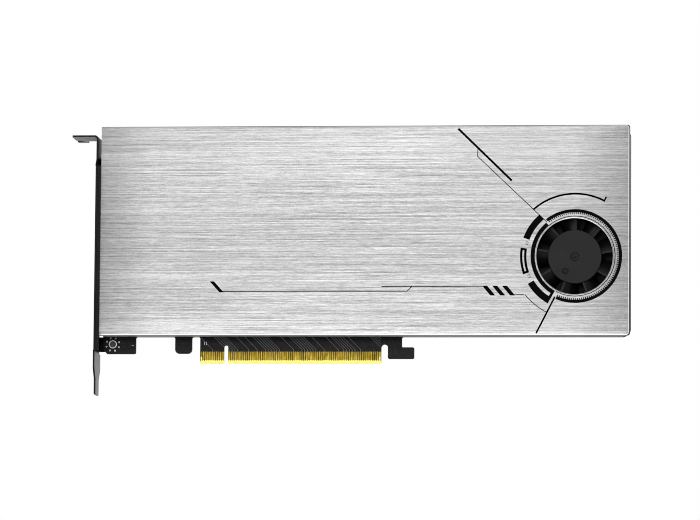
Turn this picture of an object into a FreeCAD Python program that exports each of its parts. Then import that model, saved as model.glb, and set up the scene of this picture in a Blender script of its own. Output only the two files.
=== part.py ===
"""Four-slot NVMe adapter card: a full-height x16 add-in card with a blower-cooled heatsink.

A circuit board carries four M.2 sockets in a column.  A cast heatsink stands on the board and
reaches over the drives; its fins form air ducts under a brushed aluminium cover plate.  A fan at
the far end draws air through the round hole of the cover plate and blows it along the fins to
the vented bracket.

Frame: X runs along the card, away from the bracket; +Z is up, away from the contact edge; the
cover plate faces -Y.  The origin is the middle of the key notch, at the contact edge, in the
middle of the board's thickness.  All sizes are in millimetres.
"""
import FreeCAD
import Part

import math
import os

Vector = FreeCAD.Vector

# ---------------------------------------------------------------- circuit board
BOARD_THICKNESS = 1.57
BOARD_LENGTH = 244.9
BOARD_SHOULDER = 12.35          # long lower edge above the contact edge
KEY_TO_BOARD_END = 57.6         # key notch to the board's bracket end
BOARD_END_RADIUS = 4.0
EAR_LENGTH = 15.4               # the ear that the lower bracket foot is screwed to
EAR_BOTTOM = 4.5
EAR_BEVEL = 2.0
PEG_LENGTH = 7.9                # the short peg between ear and contacts
PEG_BOTTOM = 4.65
PEG_TO_KEY = 19.9
PEG_RADIUS = 2.0
RETENTION_GAP = 3.05            # gap between the contacts and the retention hook
RETENTION_TOP = 8.9
HOOK_NECK = 6.5
HOOK_LENGTH = 12.2
HOOK_BOTTOM = 2.25
HOOK_TOP = 7.65

# ---------------------------------------------------------------- edge contacts
PIN_PITCH = 1.0
PINS_BEFORE_KEY = 11
PINS_AFTER_KEY = 71
KEY_TO_PIN = 1.5                # key notch to the middle of the pins beside it
KEY_WIDTH = 1.9
KEY_HEIGHT = 8.5
PIN_TO_BOARD_EDGE = 0.65
CONTACT_WIDTH = 0.7
CONTACT_TOP = 5.6
CONTACT_BOTTOM = 1.4
PRESENCE_BOTTOM = 3.2           # the first and last contacts are shorter
CONTACT_THICKNESS = 0.05
EDGE_BEVEL_HEIGHT = 1.3
EDGE_BEVEL_DEPTH = 0.35

# ---------------------------------------------------------------- bracket
SHEET = 0.86
BRACKET_INNER_TO_KEY = 59.4
BRACKET_WIDTH = 18.42
BRACKET_FRONT = 14.35           # front edge of the bracket in front of the board
BRACKET_TOP = 105.5
BRACKET_BOTTOM = -15.0
NECK_INSET = 3.0                # the neck below the tab is narrower at the front
NECK_BOTTOM = 94.2
TONGUE_WIDTH = 10.19
TONGUE_LENGTH = 7.3
TONGUE_TAPER = 4.5
TAB_LENGTH = 11.43
TAB_WIDTH = 21.59
TAB_HOOK_LENGTH = 5.0           # the part of the tab that reaches behind the bracket
SCREW_SLOT_WIDTH = 4.42
SCREW_SLOT_DEPTH = 3.4
SCREW_SLOT_FROM_FRONT = 15.0
BEND_RADIUS = 0.8
LIP_WIDTH = 2.65
LIP_BOTTOM = 5.3
LIP_TOP = 91.0
LIP_RADIUS = 0.35
FOOT_LENGTH = 9.3
FOOT_HEIGHT = 6.8
FOOT_RELIEF = 1.2
FOOT_HOLE_TO_BRACKET = 6.4      # screw holes of the feet from the bracket's inner face
LOWER_FOOT_Z = 9.0
UPPER_FOOT_Z = 93.0
VENT_ACROSS_FLATS = 3.2
VENT_PITCH = 4.1
VENT_BOTTOM = 17.0
VENT_TOP = 88.0
VENT_MARGIN = 1.6

# ---------------------------------------------------------------- cover plate and heatsink
COVER_FRONT = 13.3              # front of the cover plate in front of the board
COVER_THICKNESS = 1.5
WALL_INSET = 0.2                # the heatsink's walls stand inside the board's outline
COVER_RADIUS = 1.2
COVER_BEVEL = 0.45
COVER_FLARE = 0.4               # the plate's sides spread towards its back
INLET_RADIUS = 17.6
INLET_BEVEL = 0.3
WALL = 2.0
BODY_RADIUS = 4.0
BODY_OPEN_RADIUS = 0.6          # corners at the open end of the heatsink
DRIVE_SPACE = 6.0               # between board and heatsink base
BASE_THICKNESS = 2.0
FIN_THICKNESS = 1.1
FIN_COUNT = 21
FINS_TO_FAN = 37.0              # fin ends to the fan's axis
POCKET_RADIUS = 22.6
BOSS_RADIUS = 2.9

# ---------------------------------------------------------------- M.2 drive places
DRIVE_COUNT = 4
DRIVE_GAP = 1.0                 # between the sockets
ROW_MARGIN = 0.775              # between the outer sockets and the heatsink's walls
SOCKET_STOP_TO_KEY = 68.0       # where the end of a drive stops in its socket
STANDOFF_LENGTH = 80.0          # the drive length that the standoffs are fitted for
SPARE_LENGTHS = (42.0, 60.0, 110.0)  # other drive lengths, whose standoff holes stay empty
SOCKET_LENGTH = 8.7
SOCKET_WIDTH = 21.9
SOCKET_HEIGHT = 4.2
SLOT_DEPTH = 4.0
SLOT_HEIGHT = 0.95
SLOT_WIDTH = 20.0
SLOT_FLOOR = 2.35
SOCKET_KEY_OFFSET = 6.1
SOCKET_PIN_PITCH = 1.0
SOCKET_PIN_WIDTH = 0.45
SOCKET_PINS = 20
SOCKET_KEY_WIDTH = 1.2
SOCKET_TONGUE = 0.9             # thickness of the ledge under the slot
SOCKET_TAIL = 0.8
SOCKET_TAIL_THICKNESS = 0.2
STANDOFF_HEIGHT = 2.45
STANDOFF_RADIUS = 2.4
STANDOFF_HOLE_RADIUS = 1.5
M2_RADIUS = 0.9
M2_HEAD_RADIUS = 2.0
M2_HEAD_HEIGHT = 0.8
PAD_THICKNESS = 1.25
PAD_WIDTH = 20.0
PAD_LENGTH = 104.0
PAD_TO_SOCKET = 2.0

# ---------------------------------------------------------------- fan
FAN_TO_BOARD_END = 25.4
FAN_Z = 48.5
FAN_FRONT = 10.3                # front of the hub in front of the board
HUB_RADIUS = 12.45
HUB_HEIGHT = 7.4
HUB_WALL = 1.1
HUB_EDGE_RADIUS = 0.4
BLADE_COUNT = 9
BLADE_TIP_RADIUS = 19.8
BLADE_HEIGHT = 6.3
BLADE_FRONT_DROP = 0.5
BLADE_THICKNESS = 0.9
BLADE_ROOT_SWEEP = 6.4
BLADE_TIP_SWEEP = 9.4
BLADE_CAMBER = 0.12             # rise of the blade's curve against its sweep
BLADE_PHASE = 21.0              # degrees from +X to the first blade's middle
GATE_RADIUS = 2.0
WELL_TIP_RADIUS = 0.9
BALANCE_HOLE_RADIUS = 1.5
MARK_DEPTH = 0.4
BALANCE_HOLE_OFFSET = 8.0
BALANCE_HOLE_ANGLE = 237.0
FRAME_RADIUS = 21.6
FRAME_THICKNESS = 1.5
FRAME_BOSS_RADIUS = 2.4
FRAME_BOSS_CIRCLE = 17.0        # the blades run in front of the bosses
BEARING_TUBE_RADIUS = 3.0
BEARING_RADIUS = 2.1
BEARING_HEIGHT = 5.6
SHAFT_RADIUS = 0.75
SHAFT_CLEARANCE = 0.05
SHAFT_GRIP = 0.6                # the shaft reaches into the front of the hub
SHAFT_SEAT_RADIUS = 1.8
SHAFT_SEAT_HEIGHT = 1.2
FRAME_FLOOR = 0.6               # closed floor of the bearing tube
YOKE_THICKNESS = 0.6
MAGNET_THICKNESS = 1.1
AIR_GAP = 0.45
STATOR_HEIGHT = 2.4
STATOR_POLES = 4
POLE_WIDTH = 2.2
POLE_SHOE = 1.1
SHOE_HALF_ANGLE = 33.0
STATOR_RING = 1.2               # the core's ring around the bearing tube
COIL_BUILD = 0.7
COIL_CLEARANCE = 0.3
FAN_BOARD_THICKNESS = 0.6
FAN_BOARD_MARGIN = 1.3          # the fan's board reaches past the stator
FAN_BOARD_TAB_STAND = 2.05      # and its tab past the hub
RUNNING_GAP = 0.5

# ---------------------------------------------------------------- screws
M25_RADIUS = 1.25
M25_HOLE_RADIUS = 1.45
M25_HEAD_RADIUS = 2.25
M25_HEAD_HEIGHT = 1.5
M25_LENGTH = 5.5
FAN_SCREW_LENGTH = 4.2
M3_RADIUS = 1.5
M3_HOLE_RADIUS = 1.6
M3_HEAD_RADIUS = 2.75
M3_HEAD_HEIGHT = 1.9
NUT_RADIUS = 1.85
NUT_STAND = 0.15
HEAD_BEVEL = 0.35               # share of a head's height
CROSS_REACH = 0.5               # cross slot against the head's radius
CROSS_DEPTH = 0.5               # and against its height
CROSS_ARM_RATIO = 5.0           # length to half width of the slot
THREAD_SPARE = 0.5              # threaded holes are deeper than their screws
STUD_RADIUS = 1.2               # studs on the back of the cover plate
STUD_LENGTH = 2.4

# ---------------------------------------------------------------- small components
INDUCTOR = (6.6, 3.0, 6.6)
MOSFET = (5.0, 1.0, 6.0)
CAPACITOR = (4.3, 2.8, 7.3)
CHIP = (7.0, 0.9, 7.0)
LED = (0.8, 0.6, 1.6)
SUPPLY_TO_SOCKET = 8.0          # first row of supply parts behind the sockets
SUPPLY_ROW_PITCH = 10.0
SUPPLY_GAP = 0.55               # between an inductor and the capacitor below it
INDUCTOR_RADIUS = 0.8
LED_TO_BOARD_END = 2.0
LED_BELOW_ROW = 6.0
HEADER = (6.5, 4.4, 8.4)
HEADER_WALL = 0.7
HEADER_TO_FAN = 32.0
PLUG_STAND = 1.0                # the plug stands out of its header
LEAD_RADIUS = 0.45
LEAD_COUNT = 3
LEAD_PITCH = 1.6

# ---------------------------------------------------------------- derived places
BACK = BOARD_THICKNESS / 2
FACE = -BACK
BOARD_LEFT = -KEY_TO_BOARD_END
BOARD_RIGHT = BOARD_LEFT + BOARD_LENGTH
DRIVE_PITCH = SOCKET_WIDTH + DRIVE_GAP
SOCKET_ROOM = DRIVE_COUNT * DRIVE_PITCH - DRIVE_GAP + 2 * ROW_MARGIN
BOARD_TOP = BOARD_SHOULDER + SOCKET_ROOM + 2 * (WALL + WALL_INSET)
CONTACTS_LEFT = -(KEY_TO_PIN + (PINS_BEFORE_KEY - 1) * PIN_PITCH + PIN_TO_BOARD_EDGE)
CONTACTS_RIGHT = KEY_TO_PIN + (PINS_AFTER_KEY - 1) * PIN_PITCH + PIN_TO_BOARD_EDGE
BRACKET_IN = -BRACKET_INNER_TO_KEY
BRACKET_OUT = BRACKET_IN - SHEET
BRACKET_Y0 = FACE - BRACKET_FRONT
BRACKET_Y1 = BRACKET_Y0 + BRACKET_WIDTH
COVER_Y = FACE - COVER_FRONT
COVER_BACK_Y = COVER_Y + COVER_THICKNESS
BODY_LEFT = BOARD_LEFT + WALL_INSET
BODY_RIGHT = BOARD_RIGHT - WALL_INSET
BODY_LOW = BOARD_SHOULDER + WALL_INSET
BODY_HIGH = BOARD_TOP - WALL_INSET
BASE_LOW_Y = FACE - DRIVE_SPACE
BASE_HIGH_Y = BASE_LOW_Y - BASE_THICKNESS
FAN_X = BOARD_RIGHT - FAN_TO_BOARD_END
HUB_FRONT_Y = FACE - FAN_FRONT
HUB_BACK_Y = HUB_FRONT_Y + HUB_HEIGHT
FRAME_TOP_Y = FACE - FRAME_THICKNESS
FRAME_BOSS_TOP_Y = HUB_FRONT_Y + BLADE_FRONT_DROP + BLADE_HEIGHT + RUNNING_GAP
FRAME_FLOOR_Y = FACE - FRAME_FLOOR
SHAFT_FRONT_Y = HUB_FRONT_Y + HUB_WALL - SHAFT_GRIP
BEARING_TOP_Y = HUB_FRONT_Y + HUB_WALL + SHAFT_SEAT_HEIGHT + RUNNING_GAP
STATOR_RADIUS = HUB_RADIUS - HUB_WALL - YOKE_THICKNESS - MAGNET_THICKNESS - AIR_GAP
STATOR_RING_RADIUS = BEARING_TUBE_RADIUS + STATOR_RING
STATOR_Y0 = BEARING_TOP_Y + COIL_BUILD + RUNNING_GAP
STATOR_Y1 = STATOR_Y0 + STATOR_HEIGHT
FAN_BOARD_Y = FRAME_TOP_Y - FAN_BOARD_THICKNESS
FAN_BOARD_RADIUS = STATOR_RADIUS + FAN_BOARD_MARGIN
FAN_BOARD_TAB = HUB_RADIUS + FAN_BOARD_TAB_STAND
LEAD_Y = FRAME_TOP_Y - LEAD_RADIUS
LEAD_SPAN = LEAD_COUNT * LEAD_PITCH
HEADER_X = FAN_X - HEADER_TO_FAN
PLUG_RIGHT_X = HEADER_X + HEADER[0] / 2 + PLUG_STAND
DRIVE_MIDDLE = (BODY_LOW + BODY_HIGH) / 2
DRIVE_ROWS = [DRIVE_MIDDLE + (i - (DRIVE_COUNT - 1) / 2) * DRIVE_PITCH for i in range(DRIVE_COUNT)]
STANDOFF_X = SOCKET_STOP_TO_KEY - STANDOFF_LENGTH
SOCKET_MOUTH_X = SOCKET_STOP_TO_KEY - SLOT_DEPTH
SOCKET_BACK_X = SOCKET_MOUTH_X + SOCKET_LENGTH
FOOT_HOLE_X = BRACKET_IN + FOOT_HOLE_TO_BRACKET
BOSS_INSET = WALL + BOSS_RADIUS - 0.6
BOSS_LEFT_X = BODY_LEFT + BOSS_INSET
BOSS_MIDDLE_X = SOCKET_BACK_X + BOSS_RADIUS + 1.0
BOSS_RIGHT_X = BODY_RIGHT - BOSS_INSET
BODY_SCREWS = [
    (BOSS_LEFT_X, BODY_LOW + BOSS_INSET),
    (BOSS_LEFT_X, DRIVE_MIDDLE),
    (BOSS_LEFT_X, BODY_HIGH - BOSS_INSET),
    (BOSS_MIDDLE_X, BODY_LOW + BOSS_INSET),
    (BOSS_MIDDLE_X, DRIVE_MIDDLE),
    (BOSS_MIDDLE_X, BODY_HIGH - BOSS_INSET),
    (BOSS_RIGHT_X, BODY_LOW + BOSS_INSET),
    (BOSS_RIGHT_X, BODY_HIGH - BOSS_INSET),
]
FAN_SCREWS = [
    (FAN_X + FRAME_BOSS_CIRCLE * math.cos(math.radians(turn)),
     FAN_Z + FRAME_BOSS_CIRCLE * math.sin(math.radians(turn)))
    for turn in (90, 210, 330)
]


# ---------------------------------------------------------------- helpers
def rounded_wire(corners, place):
    """Closed wire through (u, v, radius) corners; place(u, v) gives the point in space."""
    count = len(corners)
    starts, arcs, ends = [], [], []
    for i, (u, v, radius) in enumerate(corners):
        before = Vector(*corners[i - 1][:2], 0) - Vector(u, v, 0)
        after = Vector(*corners[(i + 1) % count][:2], 0) - Vector(u, v, 0)
        before.normalize()
        after.normalize()
        corner = Vector(u, v, 0)
        if radius <= 0:
            starts.append(corner)
            ends.append(corner)
            arcs.append(None)
            continue
        half = before.getAngle(after) / 2
        reach = radius / math.tan(half)
        middle = before + after
        middle.normalize()
        starts.append(corner + before * reach)
        ends.append(corner + after * reach)
        arcs.append(corner + middle * (radius / math.sin(half) - radius))
    edges = []
    for i in range(count):
        if arcs[i] is not None:
            edges.append(Part.Arc(*[place(p.x, p.y) for p in (starts[i], arcs[i], ends[i])]).toShape())
        follower = starts[(i + 1) % count]
        if (follower - ends[i]).Length > 1e-6:
            edges.append(Part.LineSegment(place(ends[i].x, ends[i].y), place(follower.x, follower.y)).toShape())
    return Part.Wire(edges)


def slab_y(corners, y0, y1):
    """Outline in X and Z, extruded along Y."""
    wire = rounded_wire(corners, lambda u, v: Vector(u, y0, v))
    return Part.Face(wire).extrude(Vector(0, y1 - y0, 0))


def slab_x(corners, x0, x1):
    """Outline in Y and Z, extruded along X."""
    wire = rounded_wire(corners, lambda u, v: Vector(x0, u, v))
    return Part.Face(wire).extrude(Vector(x1 - x0, 0, 0))


def slab_z(corners, z0, z1):
    """Outline in X and Y, extruded along Z."""
    wire = rounded_wire(corners, lambda u, v: Vector(u, v, z0))
    return Part.Face(wire).extrude(Vector(0, 0, z1 - z0))


def rectangle(u0, v0, u1, v1, radius=0.0):
    return [(u0, v0, radius), (u1, v0, radius), (u1, v1, radius), (u0, v1, radius)]


def block(x0, y0, z0, x1, y1, z1):
    """Box between two corners, given in any order."""
    low = [min(a, b) for a, b in ((x0, x1), (y0, y1), (z0, z1))]
    size = [abs(a - b) for a, b in ((x0, x1), (y0, y1), (z0, z1))]
    return Part.makeBox(*size, Vector(*low))


def rod(x, z, radius, y0, y1):
    """Cylinder along Y."""
    return Part.makeCylinder(radius, abs(y1 - y0), Vector(x, min(y0, y1), z), Vector(0, 1, 0))


def tube(x, z, outer, inner, y0, y1):
    return rod(x, z, outer, y0, y1).cut(rod(x, z, inner, y0, y1))


def turned(profile, x, z):
    """Solid of revolution about the Y line through (x, z); the profile holds (radius, y, fillet)."""
    wire = rounded_wire(profile, lambda u, v: Vector(x + u, v, z))
    return Part.Face(wire).revolve(Vector(x, 0, z), Vector(0, 1, 0), 360)


def around(shape, x, z, degrees):
    """Copy of shape turned about the Y line through (x, z), from +X towards +Z."""
    copy = shape.copy()
    copy.rotate(Vector(x, 0, z), Vector(0, -1, 0), degrees)
    return copy


def joined(shapes):
    """One solid from touching shapes, with its seams removed."""
    return shapes[0].multiFuse(shapes[1:]).removeSplitter()


def on_board(size, x, z):
    """Component of size (x, height, z) standing on the front of the board."""
    length, height, width = size
    return block(x - length / 2, FACE, z - width / 2, x + length / 2, FACE - height, z + width / 2)


# ---------------------------------------------------------------- board and contacts
def drive_holes():
    """Places of the standoff holes, one for each drive length in each row."""
    lengths = (STANDOFF_LENGTH,) + SPARE_LENGTHS
    return [(SOCKET_STOP_TO_KEY - length, z) for z in DRIVE_ROWS for length in lengths]


def circuit_board():
    ear_right = BOARD_LEFT + EAR_LENGTH
    peg_left = -PEG_TO_KEY - PEG_LENGTH / 2
    peg_right = -PEG_TO_KEY + PEG_LENGTH / 2
    hook_left = CONTACTS_RIGHT + RETENTION_GAP
    neck_right = hook_left + HOOK_NECK
    hook_right = hook_left + HOOK_LENGTH
    outline = [
        (BOARD_LEFT, BOARD_TOP, 1.0),
        (BOARD_LEFT, EAR_BOTTOM + EAR_BEVEL, 0),
        (BOARD_LEFT + EAR_BEVEL, EAR_BOTTOM, 0),
        (ear_right, EAR_BOTTOM, 0.8),
        (ear_right, BOARD_SHOULDER, 0.8),
        (peg_left, BOARD_SHOULDER, 0.8),
        (peg_left, PEG_BOTTOM, PEG_RADIUS),
        (peg_right, PEG_BOTTOM, PEG_RADIUS),
        (peg_right, BOARD_SHOULDER, 0.8),
        (CONTACTS_LEFT, BOARD_SHOULDER, 0.8),
        (CONTACTS_LEFT, 0, 0),
        (CONTACTS_RIGHT, 0, 0),
        (CONTACTS_RIGHT, RETENTION_TOP, RETENTION_GAP * 0.49),
        (hook_left, RETENTION_TOP, RETENTION_GAP * 0.49),
        (hook_left, HOOK_BOTTOM, 0.8),
        (hook_right, HOOK_BOTTOM, 0.8),
        (hook_right, HOOK_TOP, 0.8),
        (neck_right, HOOK_TOP, 0.5),
        (neck_right, BOARD_SHOULDER, 0.8),
        (BOARD_RIGHT, BOARD_SHOULDER, BOARD_END_RADIUS),
        (BOARD_RIGHT, BOARD_TOP, BOARD_END_RADIUS),
    ]
    board = slab_y(outline, FACE, BACK)
    key = block(-KEY_WIDTH / 2, FACE, -1, KEY_WIDTH / 2, BACK, KEY_HEIGHT - KEY_WIDTH / 2)
    key_top = rod(0, KEY_HEIGHT - KEY_WIDTH / 2, KEY_WIDTH / 2, FACE, BACK)
    bevels = [
        slab_x([(y, 0, 0), (y, EDGE_BEVEL_HEIGHT, 0), (y * (1 - EDGE_BEVEL_DEPTH / BACK), 0, 0)],
               CONTACTS_LEFT, CONTACTS_RIGHT)
        for y in (FACE, BACK)
    ]
    holes = [rod(FOOT_HOLE_X, z, NUT_RADIUS, FACE, BACK) for z in (LOWER_FOOT_Z, UPPER_FOOT_Z)]
    holes += [rod(x, z, M25_HOLE_RADIUS, FACE, BACK) for x, z in BODY_SCREWS + FAN_SCREWS]
    holes += [rod(x, z, STANDOFF_HOLE_RADIUS, FACE, BACK) for x, z in drive_holes()]
    return board.cut([key, key_top] + bevels + holes)


def pin_places():
    before = [-(KEY_TO_PIN + i * PIN_PITCH) for i in range(PINS_BEFORE_KEY)][::-1]
    after = [KEY_TO_PIN + i * PIN_PITCH for i in range(PINS_AFTER_KEY)]
    return before + after


def edge_contacts():
    places = pin_places()
    contacts = []
    for x in places:
        bottom = PRESENCE_BOTTOM if x in (places[0], places[-1]) else CONTACT_BOTTOM
        for face, out in ((FACE, -CONTACT_THICKNESS), (BACK, CONTACT_THICKNESS)):
            contacts.append(block(x - CONTACT_WIDTH / 2, face, bottom,
                                  x + CONTACT_WIDTH / 2, face + out, CONTACT_TOP))
    return Part.makeCompound(contacts)


# ---------------------------------------------------------------- bracket
def hexagon(y, z, across_flats):
    radius = across_flats / math.sqrt(3)
    turns = [math.radians(60 * i) for i in range(6)]
    return [(y + radius * math.cos(t), z + radius * math.sin(t), 0) for t in turns]


def bracket_vents():
    """Honeycomb of holes opposite the heatsink's ducts."""
    cut_from = BRACKET_OUT - 1
    cut_to = BRACKET_IN + 1
    front = BRACKET_Y0 + SHEET + VENT_MARGIN + VENT_ACROSS_FLATS / 2
    step = VENT_PITCH * math.sin(math.radians(60))
    columns = int((FACE - VENT_MARGIN - VENT_ACROSS_FLATS / 2 - front) / step) + 1
    vents = []
    for column in range(columns):
        z = VENT_BOTTOM + (VENT_PITCH / 2 if column % 2 else 0)
        while z <= VENT_TOP:
            vents.append(slab_x(hexagon(front + column * step, z, VENT_ACROSS_FLATS), cut_from, cut_to))
            z += VENT_PITCH
    return vents


def bracket_tab():
    """The flat tab on top, with the open slot for the case screw."""
    front = BRACKET_Y0 + NECK_INSET
    back = front + TAB_WIDTH
    end = BRACKET_OUT - TAB_LENGTH
    bend = BRACKET_OUT - BEND_RADIUS
    outline = [
        (bend, front, 0),
        (end, front, 0.8),
        (end, back, 1.2),
        (end + TAB_HOOK_LENGTH, back, 0.8),
        (end + TAB_HOOK_LENGTH, BRACKET_Y1, 0),
        (bend, BRACKET_Y1, 0),
    ]
    tab = slab_z(outline, BRACKET_TOP - SHEET, BRACKET_TOP)
    slot_y = front + SCREW_SLOT_FROM_FRONT
    radius = SCREW_SLOT_WIDTH / 2
    root = end + SCREW_SLOT_DEPTH - radius
    slot = block(end - 1, slot_y - radius, BRACKET_TOP - 2 * SHEET, root, slot_y + radius, BRACKET_TOP + SHEET)
    slot_end = Part.makeCylinder(radius, 3 * SHEET, Vector(root, slot_y, BRACKET_TOP - 2 * SHEET))
    return tab.cut([slot, slot_end])


def ring_quarter(radius, centre, start, place, depth):
    """Bend of the sheet: a quarter of a ring of inner radius, from start degrees, extruded by depth."""
    angles = [math.radians(start + a) for a in (0, 45, 90)]
    inner = [place(centre[0] + radius * math.cos(a), centre[1] + radius * math.sin(a)) for a in angles]
    outer = [place(centre[0] + (radius + SHEET) * math.cos(a), centre[1] + (radius + SHEET) * math.sin(a))
             for a in angles]
    edges = [
        Part.Arc(*inner).toShape(),
        Part.LineSegment(inner[-1], outer[-1]).toShape(),
        Part.Arc(*outer[::-1]).toShape(),
        Part.LineSegment(outer[0], inner[0]).toShape(),
    ]
    return Part.Face(Part.Wire(edges)).extrude(depth)


def bracket_plate():
    """The upright plate, from the bend under the tab to the tongue at the bottom."""
    lip_bend = BRACKET_Y0 + SHEET + LIP_RADIUS
    tongue_front = BRACKET_Y0 + (BRACKET_WIDTH - TONGUE_WIDTH) / 2
    tongue_back = tongue_front + TONGUE_WIDTH
    tongue_top = BRACKET_BOTTOM + TONGUE_LENGTH
    neck_front = BRACKET_Y0 + NECK_INSET
    outline = [
        (neck_front, BRACKET_TOP - SHEET - BEND_RADIUS, 0),
        (neck_front, NECK_BOTTOM, 0),
        (BRACKET_Y0, NECK_BOTTOM - NECK_INSET, 0),
        (BRACKET_Y0, tongue_top + TONGUE_TAPER, 1.5),
        (tongue_front, tongue_top, 1.0),
        (tongue_front, BRACKET_BOTTOM, 0.8),
        (tongue_back, BRACKET_BOTTOM, 0.8),
        (tongue_back, tongue_top, 1.0),
        (BRACKET_Y1, tongue_top + TONGUE_TAPER, 1.5),
        (BRACKET_Y1, BRACKET_TOP - SHEET - BEND_RADIUS, 0),
    ]
    plate = slab_x(outline, BRACKET_OUT, BRACKET_IN)
    lip_gap = block(BRACKET_OUT - 1, BRACKET_Y0 - 1, LIP_BOTTOM, BRACKET_IN + 1, lip_bend, LIP_TOP)
    foot_gaps = [
        block(BRACKET_OUT - 1, BACK - BEND_RADIUS, z - FOOT_HEIGHT / 2 - FOOT_RELIEF,
              BRACKET_IN + 1, BRACKET_Y1 + 1, z + FOOT_HEIGHT / 2 + FOOT_RELIEF)
        for z in (LOWER_FOOT_Z, UPPER_FOOT_Z)
    ]
    return plate.cut([lip_gap] + foot_gaps + bracket_vents())


def bracket_lip():
    """The narrow flange folded along the front edge, in front of the cover plate's end."""
    height = LIP_TOP - LIP_BOTTOM
    centre = (BRACKET_IN + LIP_RADIUS, BRACKET_Y0 + SHEET + LIP_RADIUS)
    bend = ring_quarter(LIP_RADIUS, centre, 180, lambda u, v: Vector(u, v, LIP_BOTTOM), Vector(0, 0, height))
    flange = slab_y(
        [(centre[0], LIP_BOTTOM, 0), (BRACKET_OUT + LIP_WIDTH, LIP_BOTTOM, 0.6),
         (BRACKET_OUT + LIP_WIDTH, LIP_TOP, 0.6), (centre[0], LIP_TOP, 0)],
        BRACKET_Y0, BRACKET_Y0 + SHEET)
    return [bend, flange]


def bracket_foot(z):
    """A foot folded behind the board, with its screw hole."""
    low, high = z - FOOT_HEIGHT / 2, z + FOOT_HEIGHT / 2
    centre = (BRACKET_IN + BEND_RADIUS, BACK - BEND_RADIUS)
    bend = ring_quarter(BEND_RADIUS, centre, 90, lambda u, v: Vector(u, v, low), Vector(0, 0, FOOT_HEIGHT))
    strap = slab_y(
        [(centre[0], low, 0), (BRACKET_IN + FOOT_LENGTH, low, 1.5),
         (BRACKET_IN + FOOT_LENGTH, high, 1.5), (centre[0], high, 0)],
        BACK, BACK + SHEET)
    return [bend, strap.cut(rod(FOOT_HOLE_X, z, M3_HOLE_RADIUS, BACK, BACK + SHEET))]


def bracket():
    neck_front = BRACKET_Y0 + NECK_INSET
    centre = (BRACKET_OUT - BEND_RADIUS, BRACKET_TOP - SHEET - BEND_RADIUS)
    top_bend = ring_quarter(BEND_RADIUS, centre, 0, lambda u, v: Vector(u, neck_front, v),
                            Vector(0, BRACKET_Y1 - neck_front, 0))
    pieces = [bracket_plate(), top_bend, bracket_tab()] + bracket_lip()
    for z in (LOWER_FOOT_Z, UPPER_FOOT_Z):
        pieces += bracket_foot(z)
    return joined(pieces)


# ---------------------------------------------------------------- heatsink and cover plate
def heatsink():
    """The cast heatsink: a base over the drives, walls around it, fins in front and screw bosses."""
    body = slab_y(
        [(BODY_LEFT, BODY_LOW, BODY_OPEN_RADIUS), (BODY_RIGHT, BODY_LOW, BODY_RADIUS),
         (BODY_RIGHT, BODY_HIGH, BODY_RADIUS), (BODY_LEFT, BODY_HIGH, BODY_OPEN_RADIUS)],
        COVER_BACK_Y, FACE)
    inner_radius = BODY_RADIUS - WALL
    hollow = [(BODY_LEFT - 1, BODY_LOW + WALL, 0), (BODY_RIGHT - WALL, BODY_LOW + WALL, inner_radius),
              (BODY_RIGHT - WALL, BODY_HIGH - WALL, inner_radius), (BODY_LEFT - 1, BODY_HIGH - WALL, 0)]
    drive_room = slab_y(hollow, BASE_LOW_Y, FACE)
    duct_room = slab_y(hollow, COVER_BACK_Y, BASE_HIGH_Y)
    shell = body.cut([drive_room, duct_room])
    fins_end = FAN_X - FINS_TO_FAN
    duct = (BODY_HIGH - BODY_LOW - 2 * WALL - FIN_COUNT * FIN_THICKNESS) / (FIN_COUNT + 1)
    first = BODY_LOW + WALL + duct
    fins = [
        block(BODY_LEFT, COVER_BACK_Y, first + i * (FIN_THICKNESS + duct),
              fins_end, BASE_HIGH_Y, first + i * (FIN_THICKNESS + duct) + FIN_THICKNESS)
        for i in range(FIN_COUNT)
    ]
    bosses = [rod(x, z, BOSS_RADIUS, COVER_BACK_Y, FACE) for x, z in BODY_SCREWS]
    whole = joined([shell] + fins + bosses)
    thread_end = BACK - M25_LENGTH - THREAD_SPARE
    holes = [rod(x, z, M25_RADIUS, FACE, thread_end) for x, z in BODY_SCREWS]
    holes += [rod(x, z, STUD_RADIUS, COVER_BACK_Y, COVER_BACK_Y + STUD_LENGTH + THREAD_SPARE)
              for x, z in BODY_SCREWS]
    pocket = rod(FAN_X, FAN_Z, POCKET_RADIUS, COVER_BACK_Y, FACE)
    return whole.cut([pocket] + holes)


def cover_outline(y, inset):
    """The cover plate's outline at depth y, inset from its widest; the bracket's end stays straight."""
    low, high = BOARD_SHOULDER - COVER_FLARE + inset, BOARD_TOP + COVER_FLARE - inset
    corners = [(BOARD_LEFT, low, 0), (BOARD_RIGHT - inset, low, COVER_RADIUS),
               (BOARD_RIGHT - inset, high, COVER_RADIUS), (BOARD_LEFT, high, 0)]
    return rounded_wire(corners, lambda u, v: Vector(u, y, v))


def cover_plate():
    """The front plate with the fan's inlet and, behind, the studs pressed into the heatsink."""
    sides_y = COVER_Y + COVER_BEVEL
    front = cover_outline(COVER_Y, COVER_FLARE + COVER_BEVEL)
    middle = cover_outline(sides_y, COVER_FLARE)
    back = cover_outline(COVER_BACK_Y, 0.0)
    plate = joined([Part.makeLoft([front, middle], True, True), Part.makeLoft([middle, back], True, True)])
    inlet = turned(
        [(0, COVER_Y, 0), (INLET_RADIUS + INLET_BEVEL, COVER_Y, 0), (INLET_RADIUS, COVER_Y + INLET_BEVEL, 0),
         (INLET_RADIUS, COVER_BACK_Y, 0), (0, COVER_BACK_Y, 0)], FAN_X, FAN_Z)
    studs = [rod(x, z, STUD_RADIUS, COVER_BACK_Y, COVER_BACK_Y + STUD_LENGTH) for x, z in BODY_SCREWS]
    return joined([plate.cut(inlet)] + studs)


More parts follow.
